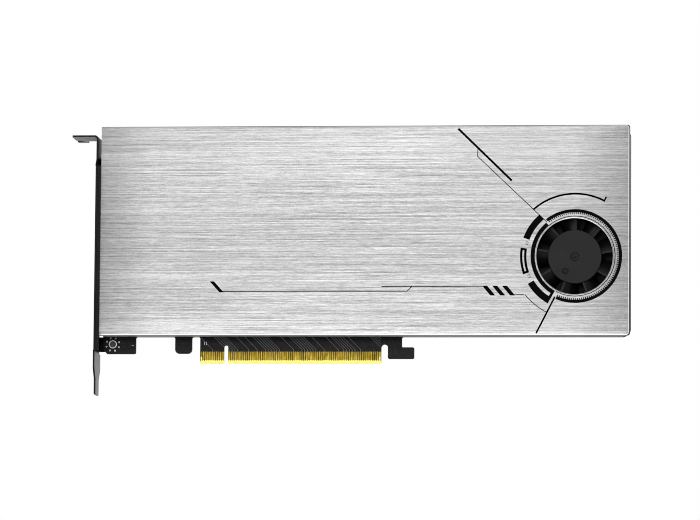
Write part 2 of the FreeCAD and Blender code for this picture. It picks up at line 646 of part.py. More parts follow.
# ---------------------------------------------------------------- M.2 drive places
def socket(z):
    """Side-entry M.2 socket: its mouth faces the bracket, with the key between the contacts."""
    body = block(SOCKET_MOUTH_X, FACE, z - SOCKET_WIDTH / 2,
                 SOCKET_BACK_X, FACE - SOCKET_HEIGHT, z + SOCKET_WIDTH / 2)
    floor = FACE - SLOT_FLOOR
    slot = block(SOCKET_MOUTH_X - 1, floor, z - SLOT_WIDTH / 2,
                 SOCKET_STOP_TO_KEY, floor - SLOT_HEIGHT, z + SLOT_WIDTH / 2)
    key = block(SOCKET_MOUTH_X, floor, z + SOCKET_KEY_OFFSET - SOCKET_KEY_WIDTH / 2,
                SOCKET_STOP_TO_KEY, floor - SLOT_HEIGHT, z + SOCKET_KEY_OFFSET + SOCKET_KEY_WIDTH / 2)
    under = block(SOCKET_MOUTH_X - 1, FACE, z - SLOT_WIDTH / 2,
                  SOCKET_STOP_TO_KEY - SLOT_DEPTH / 2, floor + SOCKET_TONGUE, z + SLOT_WIDTH / 2)
    recess = block(SOCKET_BACK_X - SOCKET_TAIL, FACE, z - SLOT_WIDTH / 2,
                   SOCKET_BACK_X + 1, FACE - SOCKET_TAIL, z + SLOT_WIDTH / 2)
    return body.cut([slot.cut(key), under, recess])


def socket_contacts(z):
    """The soldered tails of one socket's contacts, in the recess at the socket's back."""
    first = z - (SOCKET_PINS - 1) * SOCKET_PIN_PITCH / 2
    tails = []
    for i in range(SOCKET_PINS):
        middle = first + i * SOCKET_PIN_PITCH
        low = middle - SOCKET_PIN_WIDTH / 2
        tails.append(block(SOCKET_BACK_X - SOCKET_TAIL, FACE, low,
                           SOCKET_BACK_X + SOCKET_TAIL, FACE - SOCKET_TAIL_THICKNESS, low + SOCKET_PIN_WIDTH))
    return Part.makeCompound(tails)


def drive_standoffs():
    """Brass standoffs: each has a shoulder on the board and a shank through the board."""
    standoffs = []
    for z in DRIVE_ROWS:
        post = turned(
            [(M2_RADIUS, BACK, 0), (STANDOFF_HOLE_RADIUS, BACK, 0), (STANDOFF_HOLE_RADIUS, FACE, 0),
             (STANDOFF_RADIUS, FACE, 0), (STANDOFF_RADIUS, FACE - STANDOFF_HEIGHT, 0),
             (M2_RADIUS, FACE - STANDOFF_HEIGHT, 0)], STANDOFF_X, z)
        standoffs.append(post)
    return Part.makeCompound(standoffs)


def cross_recess(x, z, head_y, out, radius, depth):
    """Cross slot in a screw head; out is +1 for heads that face +Y and -1 for heads that face -Y."""
    arm = radius / CROSS_ARM_RATIO
    return [
        block(x - radius, head_y, z - arm, x + radius, head_y - out * depth, z + arm),
        block(x - arm, head_y, z - radius, x + arm, head_y - out * depth, z + radius),
    ]


def screws(places, seat_y, out, radius, length, head_radius, head_height):
    """Pan-head screws: the head sits on seat_y and faces along out, the shank goes the other way."""
    pieces = []
    top = seat_y + out * head_height
    bevel = head_height * HEAD_BEVEL
    for x, z in places:
        screw = turned(
            [(0, seat_y - out * length, 0), (radius, seat_y - out * length, 0), (radius, seat_y, 0),
             (head_radius, seat_y, 0), (head_radius, top - out * bevel, 0),
             (head_radius - bevel, top, 0), (0, top, 0)], x, z)
        recess = cross_recess(x, z, top, out, head_radius * CROSS_REACH, head_height * CROSS_DEPTH)
        pieces.append(screw.cut(recess))
    return Part.makeCompound(pieces)


def thermal_pad(z):
    right = SOCKET_MOUTH_X - PAD_TO_SOCKET
    return block(right - PAD_LENGTH, BASE_LOW_Y, z - PAD_WIDTH / 2,
                 right, BASE_LOW_Y + PAD_THICKNESS, z + PAD_WIDTH / 2)


# ---------------------------------------------------------------- fan
def fan_blade():
    """One twisted blade pointing along +X, trimmed to the round tip circle."""
    front = HUB_FRONT_Y + BLADE_FRONT_DROP
    back = front + BLADE_HEIGHT
    sections = []
    for x, sweep in ((HUB_RADIUS - HUB_WALL / 2, BLADE_ROOT_SWEEP), (BLADE_TIP_RADIUS + 0.5, BLADE_TIP_SWEEP)):
        lean = sweep / 2
        camber = sweep * BLADE_CAMBER
        near = [Vector(x, front, -lean), Vector(x, (front + back) / 2, camber),
                Vector(x, back, lean - BLADE_THICKNESS)]
        far = [p + Vector(0, 0, BLADE_THICKNESS) for p in near]
        edges = [
            Part.Arc(*near).toShape(),
            Part.LineSegment(near[2], far[2]).toShape(),
            Part.Arc(*far[::-1]).toShape(),
            Part.LineSegment(far[0], near[0]).toShape(),
        ]
        sections.append(Part.Wire(edges))
    blade = Part.makeLoft(sections, True, True)
    blade.translate(Vector(FAN_X, 0, FAN_Z))
    return blade.common(rod(FAN_X, FAN_Z, BLADE_TIP_RADIUS, front, back))


def moulding_well(radius, x, z):
    """Ring-shaped recess in the hub's front around a low tip, as a mould's gate or pin leaves it."""
    floor_y = HUB_FRONT_Y + MARK_DEPTH
    return turned(
        [(0, HUB_FRONT_Y, 0), (radius, HUB_FRONT_Y, 0), (radius - MARK_DEPTH, floor_y, 0),
         (WELL_TIP_RADIUS, floor_y, 0), (0, HUB_FRONT_Y + MARK_DEPTH / 4, 0)], x, z)


def fan_rotor():
    """The moulded hub cup with its blades and, inside, the seat of the shaft."""
    inside = HUB_RADIUS - HUB_WALL
    ceiling = HUB_FRONT_Y + HUB_WALL
    cup = turned(
        [(0, HUB_FRONT_Y, 0), (HUB_RADIUS, HUB_FRONT_Y, HUB_EDGE_RADIUS), (HUB_RADIUS, HUB_BACK_Y, 0),
         (inside, HUB_BACK_Y, 0), (inside, ceiling, 0), (SHAFT_SEAT_RADIUS, ceiling, 0.4),
         (SHAFT_SEAT_RADIUS, ceiling + SHAFT_SEAT_HEIGHT, 0), (0, ceiling + SHAFT_SEAT_HEIGHT, 0)],
        FAN_X, FAN_Z)
    blade = fan_blade()
    blades = [around(blade, FAN_X, FAN_Z, BLADE_PHASE + i * 360 / BLADE_COUNT) for i in range(BLADE_COUNT)]
    angle = math.radians(BALANCE_HOLE_ANGLE)
    balance_x = FAN_X + BALANCE_HOLE_OFFSET * math.cos(angle)
    balance_z = FAN_Z + BALANCE_HOLE_OFFSET * math.sin(angle)
    wells = [moulding_well(GATE_RADIUS, FAN_X, FAN_Z), moulding_well(BALANCE_HOLE_RADIUS, balance_x, balance_z)]
    shaft_hole = rod(FAN_X, FAN_Z, SHAFT_RADIUS, SHAFT_FRONT_Y, ceiling + SHAFT_SEAT_HEIGHT)
    return joined([cup] + blades).cut(wells + [shaft_hole])


def fan_frame():
    """The round frame on the board, with the bearing tube and the three screw bosses."""
    plate = rod(FAN_X, FAN_Z, FRAME_RADIUS, FRAME_TOP_Y, FACE)
    bosses = [rod(x, z, FRAME_BOSS_RADIUS, FRAME_BOSS_TOP_Y, FACE) for x, z in FAN_SCREWS]
    tube_body = rod(FAN_X, FAN_Z, BEARING_TUBE_RADIUS, BEARING_TOP_Y, FACE)
    bore = rod(FAN_X, FAN_Z, BEARING_RADIUS, BEARING_TOP_Y, FRAME_FLOOR_Y)
    holes = [rod(x, z, M25_RADIUS, BACK - FAN_SCREW_LENGTH, FACE) for x, z in FAN_SCREWS]
    return joined([plate, tube_body] + bosses).cut([bore] + holes)


def fan_bearing():
    bore = SHAFT_RADIUS + SHAFT_CLEARANCE
    return tube(FAN_X, FAN_Z, BEARING_RADIUS, bore, BEARING_TOP_Y, BEARING_TOP_Y + BEARING_HEIGHT)


def fan_shaft():
    return rod(FAN_X, FAN_Z, SHAFT_RADIUS, SHAFT_FRONT_Y, FRAME_FLOOR_Y - RUNNING_GAP)


def rotor_yoke():
    outer = HUB_RADIUS - HUB_WALL
    return tube(FAN_X, FAN_Z, outer, outer - YOKE_THICKNESS, HUB_FRONT_Y + HUB_WALL, HUB_BACK_Y)


def rotor_magnet():
    outer = HUB_RADIUS - HUB_WALL - YOKE_THICKNESS
    return tube(FAN_X, FAN_Z, outer, outer - MAGNET_THICKNESS, HUB_FRONT_Y + 2 * HUB_WALL, HUB_BACK_Y)


def stator_core():
    """Laminated core: a ring on the bearing tube, with poles that end in curved shoes."""
    ring = tube(FAN_X, FAN_Z, STATOR_RING_RADIUS, BEARING_TUBE_RADIUS, STATOR_Y0, STATOR_Y1)
    shoes = []
    for i in range(STATOR_POLES):
        pole = block(FAN_X, STATOR_Y0, FAN_Z - POLE_WIDTH / 2,
                     FAN_X + STATOR_RADIUS, STATOR_Y1, FAN_Z + POLE_WIDTH / 2)
        pole = pole.cut(rod(FAN_X, FAN_Z, BEARING_TUBE_RADIUS, STATOR_Y0, STATOR_Y1))
        wedge_reach = STATOR_RADIUS * math.tan(math.radians(SHOE_HALF_ANGLE))
        wedge = slab_y([(FAN_X, FAN_Z, 0), (FAN_X + STATOR_RADIUS, FAN_Z - wedge_reach, 0),
                        (FAN_X + STATOR_RADIUS, FAN_Z + wedge_reach, 0)], STATOR_Y0, STATOR_Y1)
        shoe = tube(FAN_X, FAN_Z, STATOR_RADIUS, STATOR_RADIUS - POLE_SHOE, STATOR_Y0, STATOR_Y1).common(wedge)
        limited = pole.common(rod(FAN_X, FAN_Z, STATOR_RADIUS, STATOR_Y0, STATOR_Y1))
        shoes.append(around(joined([limited, shoe]), FAN_X, FAN_Z, i * 360 / STATOR_POLES))
    return joined([ring] + shoes)


def stator_coils():
    """One winding around each pole of the core."""
    coils = []
    inner = STATOR_RING_RADIUS + COIL_CLEARANCE
    outer = STATOR_RADIUS - POLE_SHOE - COIL_CLEARANCE
    for i in range(STATOR_POLES):
        bundle = slab_x(
            rectangle(STATOR_Y0 - COIL_BUILD, FAN_Z - POLE_WIDTH / 2 - COIL_BUILD,
                      STATOR_Y1 + COIL_BUILD, FAN_Z + POLE_WIDTH / 2 + COIL_BUILD, COIL_BUILD * 0.8),
            FAN_X + inner, FAN_X + outer)
        core = block(FAN_X + inner, STATOR_Y0, FAN_Z - POLE_WIDTH / 2,
                     FAN_X + outer, STATOR_Y1, FAN_Z + POLE_WIDTH / 2)
        coils.append(around(bundle.cut(core), FAN_X, FAN_Z, i * 360 / STATOR_POLES))
    return Part.makeCompound(coils)


def fan_board():
    """The fan's own small circuit board, with a tab for the lead."""
    ring = tube(FAN_X, FAN_Z, FAN_BOARD_RADIUS, BEARING_TUBE_RADIUS, FRAME_TOP_Y, FAN_BOARD_Y)
    tab = block(FAN_X - FAN_BOARD_TAB, FRAME_TOP_Y, FAN_Z - LEAD_SPAN / 2,
                FAN_X - FAN_BOARD_RADIUS + 1, FAN_BOARD_Y, FAN_Z + LEAD_SPAN / 2)
    return joined([ring, tab])


def fan_lead():
    """Three insulated wires, lying on the frame, from the fan's board to the plug."""
    wires = []
    for i in range(LEAD_COUNT):
        z = FAN_Z + (i - (LEAD_COUNT - 1) / 2) * LEAD_PITCH
        wires.append(Part.makeCylinder(LEAD_RADIUS, FAN_X - FAN_BOARD_TAB - PLUG_RIGHT_X,
                                       Vector(PLUG_RIGHT_X, LEAD_Y, z), Vector(1, 0, 0)))
    return Part.makeCompound(wires)


def fan_header():
    """Side-entry header on the board, open towards the fan."""
    box = on_board(HEADER, HEADER_X, FAN_Z)
    length, height, width = HEADER
    mouth = block(HEADER_X - length / 2 + HEADER_WALL, FACE - HEADER_WALL, FAN_Z - width / 2 + HEADER_WALL,
                  HEADER_X + length / 2, FACE - height + HEADER_WALL, FAN_Z + width / 2 - HEADER_WALL)
    return box.cut(mouth)


def fan_plug():
    length, height, width = HEADER
    return block(HEADER_X - length / 2 + HEADER_WALL, FACE - HEADER_WALL, FAN_Z - width / 2 + HEADER_WALL,
                 PLUG_RIGHT_X, FACE - height + HEADER_WALL, FAN_Z + width / 2 - HEADER_WALL)


# ---------------------------------------------------------------- screws and nuts
def bracket_nuts():
    """Press nuts in the board that the screws of the bracket's feet go into."""
    return Part.makeCompound([
        tube(FOOT_HOLE_X, z, NUT_RADIUS, M3_RADIUS, FACE - NUT_STAND, BACK)
        for z in (LOWER_FOOT_Z, UPPER_FOOT_Z)
    ])


def bracket_screws():
    places = [(FOOT_HOLE_X, z) for z in (LOWER_FOOT_Z, UPPER_FOOT_Z)]
    length = SHEET + BOARD_THICKNESS
    return screws(places, BACK + SHEET, 1, M3_RADIUS, length, M3_HEAD_RADIUS, M3_HEAD_HEIGHT)


# ---------------------------------------------------------------- small components
def in_rows(size, offset_x, offset_z=0.0):
    """One component of this size in each drive's row, offset from the row's socket."""
    return Part.makeCompound([on_board(size, SOCKET_BACK_X + offset_x, z + offset_z) for z in DRIVE_ROWS])


def inductors():
    """Square choke blocks with their corners taken off."""
    length, height, width = INDUCTOR
    x = SOCKET_BACK_X + SUPPLY_TO_SOCKET + SUPPLY_ROW_PITCH
    return Part.makeCompound([
        slab_y(rectangle(x - length / 2, z - width / 2, x + length / 2, z + width / 2, INDUCTOR_RADIUS),
               FACE - height, FACE) for z in DRIVE_ROWS
    ])


def status_lights():
    x = BOARD_LEFT + LED_TO_BOARD_END
    return Part.makeCompound([on_board(LED, x, z - LED_BELOW_ROW) for z in DRIVE_ROWS])


def write(name, shape):
    shape.exportStep("parts/" + name + ".step")


def main():
    os.makedirs("parts", exist_ok=True)
    write("circuit_board", circuit_board())
    write("edge_contacts", edge_contacts())
    write("bracket", bracket())
    write("bracket_nuts", bracket_nuts())
    write("bracket_screws", bracket_screws())
    write("heatsink", heatsink())
    write("cover_plate", cover_plate())
    write("heatsink_screws", screws(BODY_SCREWS, BACK, 1, M25_RADIUS, M25_LENGTH,
                                    M25_HEAD_RADIUS, M25_HEAD_HEIGHT))
    for i, z in enumerate(DRIVE_ROWS):
        write("drive_socket_" + str(i + 1), socket(z))
        write("socket_contacts_" + str(i + 1), socket_contacts(z))
        write("thermal_pad_" + str(i + 1), thermal_pad(z))
    write("drive_standoffs", drive_standoffs())
    standoff_places = [(STANDOFF_X, z) for z in DRIVE_ROWS]
    write("drive_screws", screws(standoff_places, FACE - STANDOFF_HEIGHT, -1, M2_RADIUS, STANDOFF_HEIGHT,
                                 M2_HEAD_RADIUS, M2_HEAD_HEIGHT))
    write("fan_rotor", fan_rotor())
    write("rotor_yoke", rotor_yoke())
    write("rotor_magnet", rotor_magnet())
    write("fan_shaft", fan_shaft())
    write("fan_bearing", fan_bearing())
    write("fan_frame", fan_frame())
    write("stator_core", stator_core())
    write("stator_coils", stator_coils())
    write("fan_board", fan_board())
    write("fan_lead", fan_lead())
    write("fan_header", fan_header())
    write("fan_plug", fan_plug())
    write("fan_screws", screws(FAN_SCREWS, BACK, 1, M25_RADIUS, FAN_SCREW_LENGTH,
                               M25_HEAD_RADIUS, M25_HEAD_HEIGHT))
    write("inductors", inductors())
    write("power_switches", in_rows(MOSFET, SUPPLY_TO_SOCKET))
    beside_inductor = -(INDUCTOR[2] + CAPACITOR[2]) / 2 - SUPPLY_GAP
    write("capacitors", in_rows(CAPACITOR, SUPPLY_TO_SOCKET + SUPPLY_ROW_PITCH, beside_inductor))
    write("clock_buffer", on_board(CHIP, SOCKET_BACK_X + SUPPLY_TO_SOCKET + 2 * SUPPLY_ROW_PITCH, DRIVE_MIDDLE))
    write("status_lights", status_lights())


main()
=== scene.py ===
"""Looks of the four-slot NVMe adapter card: finishes, printed line work, light and camera.

All places come from the CAD frame.  Metres; X along the card, Z up, the cover plate faces -Y.
"""

import math

import bpy
from mathutils import Matrix, Vector


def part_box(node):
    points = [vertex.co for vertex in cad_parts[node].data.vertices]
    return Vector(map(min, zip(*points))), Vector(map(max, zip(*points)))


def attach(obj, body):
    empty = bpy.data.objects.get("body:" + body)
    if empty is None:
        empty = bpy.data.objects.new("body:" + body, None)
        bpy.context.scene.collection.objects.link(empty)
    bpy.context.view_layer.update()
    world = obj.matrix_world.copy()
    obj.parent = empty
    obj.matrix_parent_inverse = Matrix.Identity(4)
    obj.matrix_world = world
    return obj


MM = 0.001

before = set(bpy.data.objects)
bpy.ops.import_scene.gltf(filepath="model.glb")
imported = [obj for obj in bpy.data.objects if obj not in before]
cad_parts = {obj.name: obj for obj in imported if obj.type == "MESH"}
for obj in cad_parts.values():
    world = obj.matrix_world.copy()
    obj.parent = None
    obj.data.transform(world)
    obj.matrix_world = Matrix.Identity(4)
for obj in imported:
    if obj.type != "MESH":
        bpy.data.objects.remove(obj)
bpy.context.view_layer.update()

BOARD_LOW, BOARD_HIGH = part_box("circuit_board")
COVER_LOW, COVER_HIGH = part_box("cover_plate")
CONTACTS_LOW, CONTACTS_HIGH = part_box("edge_contacts")
BRACKET_LOW, BRACKET_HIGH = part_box("bracket")
NUTS_LOW, NUTS_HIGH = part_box("bracket_nuts")
SHAFT_LOW, SHAFT_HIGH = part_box("fan_shaft")
FAN_X = (SHAFT_LOW[0] + SHAFT_HIGH[0]) / 2
FAN_Z = (SHAFT_LOW[2] + SHAFT_HIGH[2]) / 2
BRACKET_INNER = BOARD_LOW[0] - 1.8 * MM     # the side of the bracket's sheet that faces the card


# ---------------------------------------------------------------- materials
class Finish:
    """A Principled material whose colour, gloss and relief come from nodes in the part's own frame."""

    def __init__(self, name, metallic=0.0, specular=0.5):
        self.material = bpy.data.materials.new(name)
        self.material.use_nodes = True
        self.tree = self.material.node_tree
        self.shader = self.tree.nodes["Principled BSDF"]
        self.shader.inputs["Metallic"].default_value = metallic
        self.shader.inputs["Specular IOR Level"].default_value = specular
        self.place = self.node("ShaderNodeTexCoord").outputs["Object"]

    def node(self, kind, **settings):
        """A new node of the material, with its settings."""
        node = self.tree.nodes.new(kind)
        for name, value in settings.items():
            setattr(node, name, value)
        return node

    def link(self, source, target):
        """Join an output to an input."""
        self.tree.links.new(source, target)

    def scaled(self, scale):
        """Coordinates multiplied by scale, so that one unit is one cell of a pattern."""
        mapping = self.node("ShaderNodeMapping")
        mapping.inputs["Scale"].default_value = scale
        self.link(self.place, mapping.inputs["Vector"])
        return mapping.outputs["Vector"]

    def noise(self, scale, detail=3.0, roughness=0.55):
        """Soft noise; scale is its cells a metre along each axis."""
        noise = self.node("ShaderNodeTexNoise")
        noise.inputs["Scale"].default_value = 1.0
        noise.inputs["Detail"].default_value = detail
        noise.inputs["Roughness"].default_value = roughness
        self.link(self.scaled(scale), noise.inputs["Vector"])
        return noise.outputs["Fac"]

    def cells(self, scale, metric="CHEBYCHEV"):
        """Random cells: each cell's own value, and the distance from its middle."""
        cells = self.node("ShaderNodeTexVoronoi", distance=metric)
        cells.inputs["Scale"].default_value = 1.0
        self.link(self.scaled(scale), cells.inputs["Vector"])
        value = self.node("ShaderNodeSeparateColor")
        self.link(cells.outputs["Color"], value.inputs["Color"])
        return value.outputs["Red"], cells.outputs["Distance"]

    def ramp(self, value, stops):
        """Colours along a value: stops are (position, grey or colour)."""
        ramp = self.node("ShaderNodeValToRGB")
        elements = ramp.color_ramp.elements
        while len(elements) < len(stops):
            elements.new(0.5)
        for element, (position, colour) in zip(elements, stops):
            element.position = position
            element.color = (*colour, 1) if isinstance(colour, tuple) else (colour, colour, colour, 1)
        self.link(value, ramp.inputs["Fac"])
        return ramp.outputs["Color"]

    def spread(self, value, low, high, start=0.3, end=0.7):
        """The value's range start to end, mapped to low to high."""
        spread = self.node("ShaderNodeMapRange")
        for name, number in (("From Min", start), ("From Max", end), ("To Min", low), ("To Max", high)):
            spread.inputs[name].default_value = number
        self.link(value, spread.inputs["Value"])
        return spread.outputs["Result"]

    def maths(self, operation, first, second=0.0):
        """One step of arithmetic on outputs or numbers."""
        node = self.node("ShaderNodeMath", operation=operation)
        for socket, value in zip(node.inputs, (first, second)):
            if isinstance(value, (int, float)):
                socket.default_value = value
            else:
                self.link(value, socket)
        return node.outputs["Value"]

    def mix(self, factor, first, second, blend="MIX"):
        """Two colours, each an output or a tuple, mixed or multiplied."""
        mix = self.node("ShaderNodeMix", data_type="RGBA", blend_type=blend)
        for socket, value in ((mix.inputs[0], factor), (mix.inputs[6], first), (mix.inputs[7], second)):
            if isinstance(value, (int, float)):
                socket.default_value = value
            elif isinstance(value, tuple):
                socket.default_value = (*value, 1)
            else:
                self.link(value, socket)
        return mix.outputs[2]

    def split(self):
        """X, Y and Z in the part's frame."""
        axes = self.node("ShaderNodeSeparateXYZ")
        self.link(self.place, axes.inputs["Vector"])
        return axes.outputs

    def colour(self, source):
        """Give the material its colour."""
        self.link(source, self.shader.inputs["Base Color"])

    def roughness(self, source):
        """Give the material its gloss."""
        self.link(source, self.shader.inputs["Roughness"])

    def relief(self, source, depth, strength=1.0):
        """A fine relief, depth in metres."""
        bump = self.node("ShaderNodeBump")
        bump.inputs["Distance"].default_value = depth
        bump.inputs["Strength"].default_value = strength
        self.link(source, bump.inputs["Height"])
        self.link(bump.outputs["Normal"], self.shader.inputs["Normal"])


PATCH_SIZE = 14                 # cells of grain across a wider patch


def plain(name, dark, light, cell, rough, metallic=0.0, specular=0.5, depth=0.00002):
    """A finish with a fine grain: two near colours, two gloss levels and a light relief."""
    finish = Finish(name, metallic, specular)
    grain = finish.noise((1 / cell,) * 3)
    patches = finish.noise((1 / (PATCH_SIZE * cell),) * 3, 2.0)
    both = finish.maths("MULTIPLY", finish.maths("ADD", grain, patches), 0.5)
    finish.colour(finish.ramp(both, [(0.35, dark), (0.65, light)]))
    finish.roughness(finish.spread(both, *rough, 0.35, 0.65))
    finish.relief(grain, depth)
    return finish


BRUSHED_LAYERS = (              # cells a metre, detail, roughness and share of each layer of streaks
    ((1300, 300, 3000), 0.0, 0.55, 0.11),
    ((260, 300, 3600), 1.0, 0.6, 0.23),
    ((38, 300, 3400), 1.0, 0.6, 0.29),
    ((7, 300, 3000), 1.0, 0.6, 0.31),
    ((10, 60, 170), 2.0, 0.5, 0.06),
)
PLATE_MIDDLE = FAN_Z + 8 * MM   # the height of the painted shade band, where the plate is darkest
BEVEL_DEPTH = 0.47 * MM         # of the cover plate's bright bevel, from its front
# bright bevel colour: partly the polish of the cut metal, partly a painted highlight for the light the bevel
# catches
CUT_AND_HIGHLIGHT = (0.88, 0.88, 0.89)
# painted shade: the plate's sides and underside behind the bevel, drawn as dull dark non-metal
SHADED_SIDE = (0.006, 0.006, 0.007)
SHADED_UNDERSIDE = (0.21, 0.21, 0.215)


def brushed_plate():
    """Brushed aluminium: fine hairlines along X with painted shade and light across the face, a bright bevel
    that is partly a painted highlight, and painted shade on the sides behind it.
    """
    finish = Finish("brushed_aluminium", specular=0.1)
    x, y, z = finish.split()
    streaks = 0.0
    for scale, detail, roughness, share in BRUSHED_LAYERS:
        layer = finish.maths("MULTIPLY", finish.noise(scale, detail, roughness), share)
        streaks = finish.maths("ADD", layer, streaks)
    brushed_and_shade = finish.ramp(streaks, [(0.34, 0.20), (0.46, 0.32), (0.55, 0.41), (0.68, 0.53)])

    from_middle = finish.maths("ABSOLUTE", finish.maths("SUBTRACT", z, PLATE_MIDDLE))
    # painted shade and light in the plate's colour: a darker band across the middle height, a brighter strip
    # along the bottom edge, and darker ends towards the bracket and the far end
    painted_shades = (
        finish.spread(from_middle, 0.90, 1.0, 4 * MM, 40 * MM),
        finish.spread(z, 1.28, 1.0, COVER_LOW[2] + 0.5 * MM, COVER_LOW[2] + 9 * MM),
        finish.spread(x, 0.64, 1.0, COVER_LOW[0], COVER_LOW[0] + 24 * MM),
        finish.spread(x, 1.0, 0.66, COVER_HIGH[0] - 26 * MM, COVER_HIGH[0]),
    )
    for shade in painted_shades:
        brushed_and_shade = finish.mix(1.0, brushed_and_shade, shade, "MULTIPLY")

    behind_front = finish.maths("SUBTRACT", y, COVER_LOW[1])
    bevel = finish.spread(behind_front, 0, 1, 0.05 * MM, 0.10 * MM)
    side = finish.spread(behind_front, 0, 1, BEVEL_DEPTH, BEVEL_DEPTH + 0.03 * MM)
    underside = finish.spread(z, 1, 0, COVER_LOW[2] + 0.30 * MM, COVER_LOW[2] + 0.35 * MM)
    # the bevel takes the bright colour that is partly a painted highlight
    front_and_bevel = finish.mix(bevel, brushed_and_shade, CUT_AND_HIGHLIGHT)
    # painted shade on the plate's sides and underside; the metal is turned off there
    sides = finish.mix(underside, SHADED_SIDE, SHADED_UNDERSIDE)
    finish.colour(finish.mix(side, front_and_bevel, sides))
    finish.link(finish.maths("SUBTRACT", 1.0, side), finish.shader.inputs["Metallic"])
    finish.roughness(finish.spread(streaks, 0.42, 0.32, 0.4, 0.6))
    finish.relief(streaks, 0.00003, 0.4)
    finish.shader.inputs["Anisotropic"].default_value = 0.5
    return finish


TRACE_PITCH = 1.3 * MM
TRACE_TURN = CONTACTS_HIGH[2] + 1.0 * MM
TRACE_SHARE = 0.26              # of the pitch that a line takes


def traces_near_contacts(finish, x, z):
    """Lines that leave the contacts straight up and lean towards the bracket above the turn, in groups."""
    above_turn = finish.maths("MAXIMUM", finish.maths("SUBTRACT", z, TRACE_TURN), 0.0)
    along = finish.maths("DIVIDE", finish.maths("ADD", x, above_turn), TRACE_PITCH)
    line = finish.maths("LESS_THAN", finish.maths("FRACT", along), TRACE_SHARE)
    number = finish.maths("FLOOR", along)
    group = finish.maths("FRACT", finish.maths("MULTIPLY", number, 0.0721))
    lone = finish.maths("FRACT", finish.maths("MULTIPLY", number, 0.377))
    kept = finish.maths("MAXIMUM", finish.maths("LESS_THAN", group, 0.34),
                        finish.maths("LESS_THAN", lone, 0.22))
    return finish.maths("MULTIPLY", line, kept)


COPPER_FRONT = (0.0056, 0.0055, 0.0060)     # seen through the mask; fainter on the cover's side
COPPER_BACK = (0.0125, 0.0125, 0.0140)
MASK = (0.0022, 0.0024, 0.0032)
MASK_NEAR_CONTACTS = (0.0030, 0.0032, 0.0042)
TRACE_NEAR_CONTACTS = (0.095, 0.095, 0.10)
VIA_BACK = (0.05, 0.048, 0.042)
END_CONTACT = 0.7 * MM          # from either end of the row across its last contact
END_CONTACT_RISE = 2 * MM       # those contacts start higher, above bare laminate


def circuit_board_finish():
    """Dark solder mask over copper traces and pours, with bare laminate at the contact edge."""
    finish = Finish("solder_mask", specular=0.14)
    x, y, z = finish.split()
    area = finish.cells((70, 1, 105))[0]

    def between(value, low, high):
        """1 where the value lies between low and high, else 0."""
        return finish.maths("MULTIPLY", finish.maths("GREATER_THAN", value, low),
                            finish.maths("LESS_THAN", value, high))

    def lanes(across, pitch, low, high):
        """Parallel traces, kept in the areas whose value lies between low and high."""
        wave = finish.maths("SINE", finish.maths("MULTIPLY", across, 2 * math.pi / pitch))
        return finish.maths("MULTIPLY", finish.maths("GREATER_THAN", wave, 0.3), between(area, low, high))

    upright = lanes(x, 1.1 * MM, 0.0, 0.30)
    level = lanes(z, 1.3 * MM, 0.30, 0.45)
    slanted = lanes(finish.maths("ADD", x, z), 1.6 * MM, 0.45, 0.60)
    traces = finish.maths("ADD", finish.maths("ADD", upright, level), slanted)
    pours = finish.maths("MULTIPLY", finish.maths("GREATER_THAN", area, 0.82), 0.45)
    dot, reach = finish.cells((330, 1, 330), "EUCLIDEAN")
    vias = finish.maths("MULTIPLY", finish.maths("LESS_THAN", reach, 0.12),
                        finish.maths("GREATER_THAN", dot, 0.72))
    copper = finish.maths("MAXIMUM", finish.maths("MAXIMUM", traces, pours), vias)
    behind = finish.maths("GREATER_THAN", y, 0.0)
    mask = finish.mix(copper, MASK, finish.mix(behind, COPPER_FRONT, COPPER_BACK))
    mask = finish.mix(finish.maths("MULTIPLY", vias, behind), mask, VIA_BACK)

    over_contacts = between(x, CONTACTS_LOW[0], CONTACTS_HIGH[0])
    strip = finish.maths("MULTIPLY", over_contacts, finish.maths("LESS_THAN", z, COVER_LOW[2] + 4 * MM))
    lines = finish.maths("MULTIPLY", strip, traces_near_contacts(finish, x, z))
    mask = finish.mix(strip, mask, MASK_NEAR_CONTACTS)
    mask = finish.mix(lines, mask, TRACE_NEAR_CONTACTS)

    grain = finish.noise((900, 4000, 900), 2.0)
    edge = finish.ramp(grain, [(0.3, (0.035, 0.033, 0.030)), (0.7, (0.06, 0.056, 0.05))])
    laminate = finish.ramp(grain, [(0.3, (0.88, 0.80, 0.19)), (0.7, (0.95, 0.90, 0.34))])
    near_contacts = between(x, CONTACTS_LOW[0] - 1.2 * MM, CONTACTS_HIGH[0] + 1.2 * MM)
    low = finish.maths("MULTIPLY", near_contacts, finish.maths("LESS_THAN", z, CONTACTS_HIGH[2]))
    edge = finish.mix(low, edge, laminate)
    middle_x = (CONTACTS_LOW[0] + CONTACTS_HIGH[0]) / 2
    from_end = finish.maths("SUBTRACT", (CONTACTS_HIGH[0] - CONTACTS_LOW[0]) / 2,
                            finish.maths("ABSOLUTE", finish.maths("SUBTRACT", x, middle_x)))
    rise = finish.maths("MULTIPLY", finish.maths("LESS_THAN", from_end, END_CONTACT), END_CONTACT_RISE)
    bare_top = finish.maths("ADD", rise, CONTACTS_LOW[2])
    bare = finish.maths("MULTIPLY", over_contacts, finish.maths("LESS_THAN", z, bare_top))
    mask = finish.mix(bare, mask, laminate)

    faces = finish.maths("GREATER_THAN", finish.maths("ABSOLUTE", y), 0.98 * BOARD_HIGH[1])
    finish.colour(finish.mix(faces, edge, mask))
    finish.roughness(finish.spread(finish.noise((900, 900, 900), 2.0), 0.30, 0.42))
    finish.relief(finish.maths("MULTIPLY", copper, finish.maths("SUBTRACT", 1.0, strip)), 0.00002, 0.5)
    return finish


